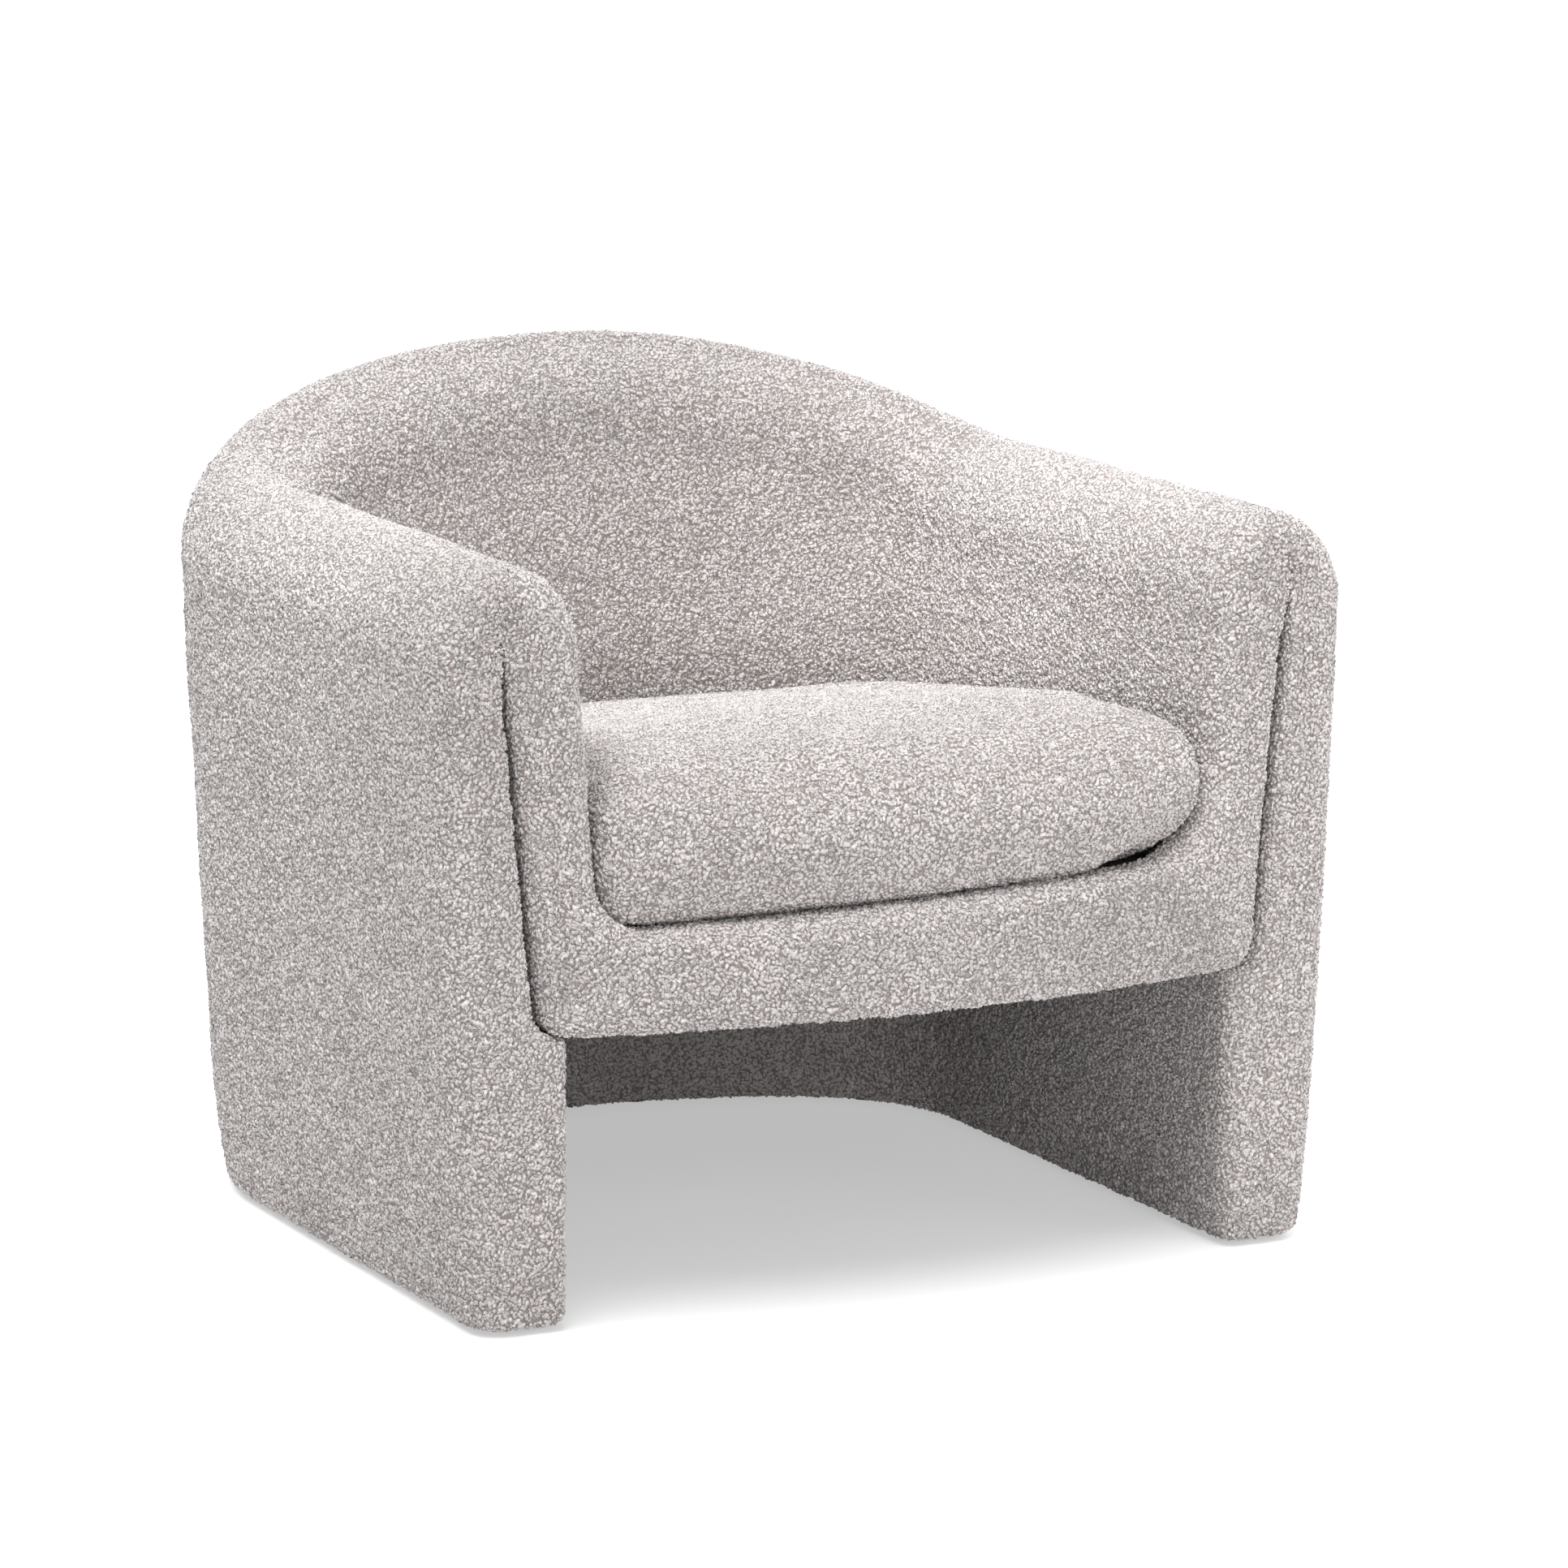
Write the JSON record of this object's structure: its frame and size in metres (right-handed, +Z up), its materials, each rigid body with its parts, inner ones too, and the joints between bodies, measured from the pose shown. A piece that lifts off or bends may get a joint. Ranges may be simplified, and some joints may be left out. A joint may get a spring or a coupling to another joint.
{
  "type": "tub chair",
  "caption": "Upholstered tub chair whose padded horseshoe wall reaches the floor, with a bowed front apron and a loose sprung seat cushion.",
  "frame": {"origin": "on the floor, in the middle of the chair's bounding box", "axes": "+Z up; the open front faces -Y and the back is at +Y; +X is to the right of someone who looks at the front"},
  "size_m": [0.8002, 0.823, 0.6887],
  "materials": {
    "boucle": "matte",
    "foam": "matte",
    "felt": "matte",
    "deck_cloth": "matte",
    "black_cloth": "matte",
    "webbing": "matte",
    "plywood": "matte",
    "hardboard": "satin",
    "spring_steel": "satin",
    "zinc_steel": "satin",
    "glide_nylon": "matte"
  },
  "bodies": {
    "chair": {"base_ring": "plywood", "seat_ring": "plywood", "left_front_post": "plywood", "right_front_post": "plywood", "left_arm_stud": "plywood", "right_arm_stud": "plywood", "left_corner_stud": "plywood", "right_corner_stud": "plywood", "left_back_stud": "plywood", "right_back_stud": "plywood", "left_arm_former": "plywood", "right_arm_former": "plywood", "back_former": "plywood", "left_seat_rail": "plywood", "right_seat_rail": "plywood", "front_seat_rail": "plywood", "back_seat_rail": "plywood", "left_glue_block": "plywood", "right_glue_block": "plywood", "left_facing_board": "hardboard", "right_facing_board": "hardboard", "outer_board": "hardboard", "lining_board": "hardboard", "tub_webbing": "webbing", "spring_clips": "zinc_steel", "seat_springs": "spring_steel", "spring_felt": "felt", "outer_foam": "foam", "tub_foam": "foam", "deck_foam": "foam", "deck_cloth": "deck_cloth", "tub_cover": "boucle", "leg_lining": "boucle", "left_arm_facing": "boucle", "right_arm_facing": "boucle", "front_apron_pad": "boucle", "dust_cover": "black_cloth", "frame_screws": "zinc_steel", "glides": "glide_nylon"},
    "cushion": {"seat_cushion": "boucle", "cushion_core": "foam"}
  },
  "joints": [
    {"name": "cushion_lift", "type": "slide", "parent": "chair", "child": "cushion", "axis": [0, 0, 1], "range_m": [0, 0.4]}
  ]
}
